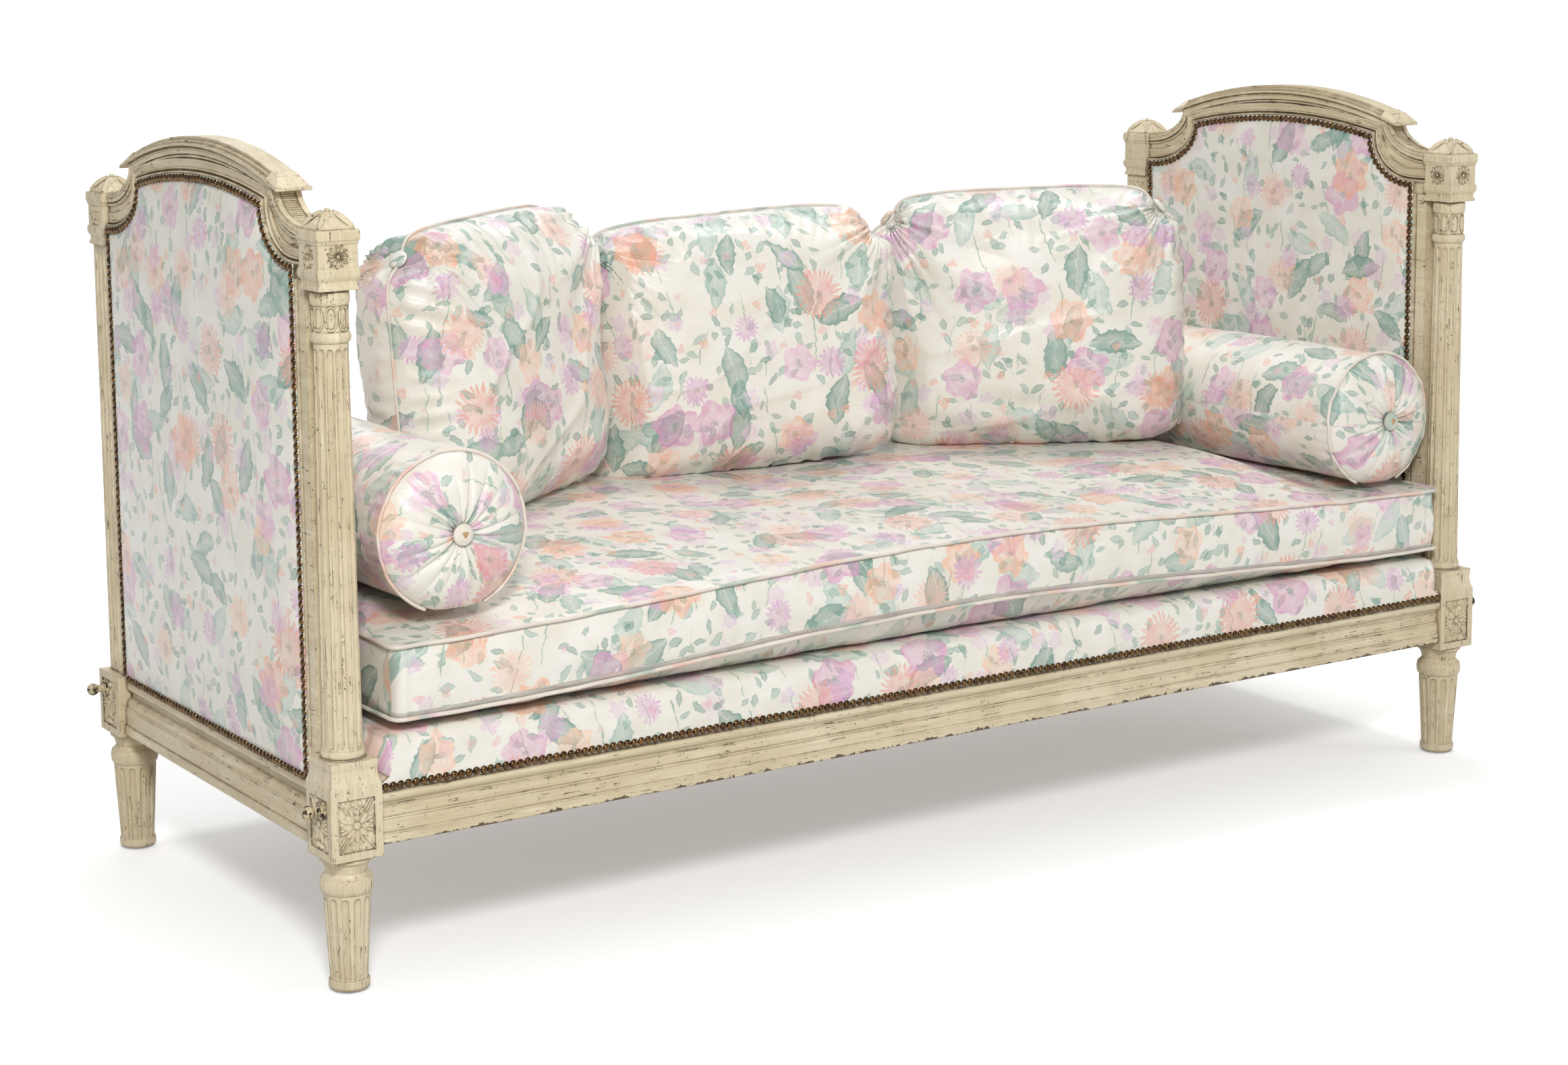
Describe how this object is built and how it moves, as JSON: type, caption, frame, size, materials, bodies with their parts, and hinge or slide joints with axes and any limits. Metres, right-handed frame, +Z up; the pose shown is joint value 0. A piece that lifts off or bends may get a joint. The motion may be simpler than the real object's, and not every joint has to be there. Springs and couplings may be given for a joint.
{
  "type": "upholstered daybed",
  "caption": "Daybed with two arched padded ends on fluted posts, a nailed deck, a loose seat cushion, bolsters and pillows, drawn together by bed bolts.",
  "frame": {"origin": "on the floor, at the centre of the footprint", "axes": "+X along the length to the right end as seen from the front, +Y from the open front to the back, +Z up"},
  "size_m": [2.1326, 0.814, 1.096],
  "materials": {
    "cream_paint": "antique cream paint on carved wood, rubbed and chipped on its edges",
    "chintz": "glazed cotton with a loose watercolour flower print",
    "piping": "covered cord and covered buttons",
    "old_brass": "dark antique brass with worn highlights",
    "bolt_steel": "steel with remains of cream paint",
    "glide_steel": "plain",
    "bare_beech": "unpainted",
    "jute": "woven strap"
  },
  "bodies": {
    "frame": {"foot_glides": "glide_steel", "leg_front_left": "cream_paint", "leg_front_right": "cream_paint", "leg_back_left": "cream_paint", "leg_back_right": "cream_paint", "corner_block_front_left": "cream_paint", "corner_block_front_right": "cream_paint", "corner_block_back_left": "cream_paint", "corner_block_back_right": "cream_paint", "column_left": "cream_paint", "column_right": "cream_paint", "pilaster_left": "cream_paint", "pilaster_right": "cream_paint", "capital_front_left": "cream_paint", "capital_front_right": "cream_paint", "capital_back_left": "cream_paint", "capital_back_right": "cream_paint", "finials": "cream_paint", "front_stile_left": "cream_paint", "front_stile_right": "cream_paint", "back_stile_left": "cream_paint", "back_stile_right": "cream_paint", "crest_rail_left": "cream_paint", "crest_rail_right": "cream_paint", "crest_cap_left": "cream_paint", "crest_cap_right": "cream_paint", "end_rail_left": "cream_paint", "end_rail_right": "cream_paint", "front_rail": "cream_paint", "back_rail": "cream_paint", "slat_cleats": "bare_beech", "deck_slats": "bare_beech", "deck_pad": "chintz", "end_webbing": "jute", "outer_pad_left": "chintz", "inner_pad_left": "chintz", "outer_pad_right": "chintz", "inner_pad_right": "chintz", "rail_nails": "old_brass", "end_nails_left": "old_brass", "end_nails_right": "old_brass", "bolt_washers": "bolt_steel", "bolt_nuts": "bolt_steel"},
    "seat_cushion": {"seat_cushion": "chintz", "seat_piping": "piping"},
    "bolster_left": {"bolster_left": "chintz", "bolster_trim_left": "piping"},
    "bolster_right": {"bolster_right": "chintz", "bolster_trim_right": "piping"},
    "pillow_left": {"pillow_left": "chintz", "pillow_trim_left": "piping"},
    "pillow_centre": {"pillow_centre": "chintz", "pillow_trim_centre": "piping"},
    "pillow_right": {"pillow_right": "chintz", "pillow_trim_right": "piping"},
    "bed_bolt_front_left": {"bed_bolt_front_left": "bolt_steel"},
    "bed_bolt_front_right": {"bed_bolt_front_right": "bolt_steel"},
    "bed_bolt_back_left": {"bed_bolt_back_left": "bolt_steel"},
    "bed_bolt_back_right": {"bed_bolt_back_right": "bolt_steel"}
  },
  "joints": [
    {"name": "seat_cushion_lift", "type": "slide", "parent": "frame", "child": "seat_cushion", "axis": [0, 0, 1], "range_m": [0, 0.3]},
    {"name": "bolster_left_lift", "type": "slide", "parent": "seat_cushion", "child": "bolster_left", "axis": [0, 0, 1], "range_m": [0, 0.25]},
    {"name": "bolster_right_lift", "type": "slide", "parent": "seat_cushion", "child": "bolster_right", "axis": [0, 0, 1], "range_m": [0, 0.25]},
    {"name": "pillow_left_lift", "type": "slide", "parent": "seat_cushion", "child": "pillow_left", "axis": [0, 0, 1], "range_m": [0, 0.25]},
    {"name": "pillow_centre_lift", "type": "slide", "parent": "seat_cushion", "child": "pillow_centre", "axis": [0, 0, 1], "range_m": [0, 0.25]},
    {"name": "pillow_right_lift", "type": "slide", "parent": "seat_cushion", "child": "pillow_right", "axis": [0, 0, 1], "range_m": [0, 0.25]},
    {"name": "bed_bolt_front_left_turn", "type": "hinge", "parent": "frame", "child": "bed_bolt_front_left", "pos_m": [-1, -0.3815, 0.249], "axis": [-1, 0, 0], "continuous": true},
    {"name": "bed_bolt_front_right_turn", "type": "hinge", "parent": "frame", "child": "bed_bolt_front_right", "pos_m": [1, -0.3815, 0.249], "axis": [1, 0, 0], "continuous": true},
    {"name": "bed_bolt_back_left_turn", "type": "hinge", "parent": "frame", "child": "bed_bolt_back_left", "pos_m": [-1, 0.3815, 0.249], "axis": [-1, 0, 0], "continuous": true},
    {"name": "bed_bolt_back_right_turn", "type": "hinge", "parent": "frame", "child": "bed_bolt_back_right", "pos_m": [1, 0.3815, 0.249], "axis": [1, 0, 0], "continuous": true}
  ]
}
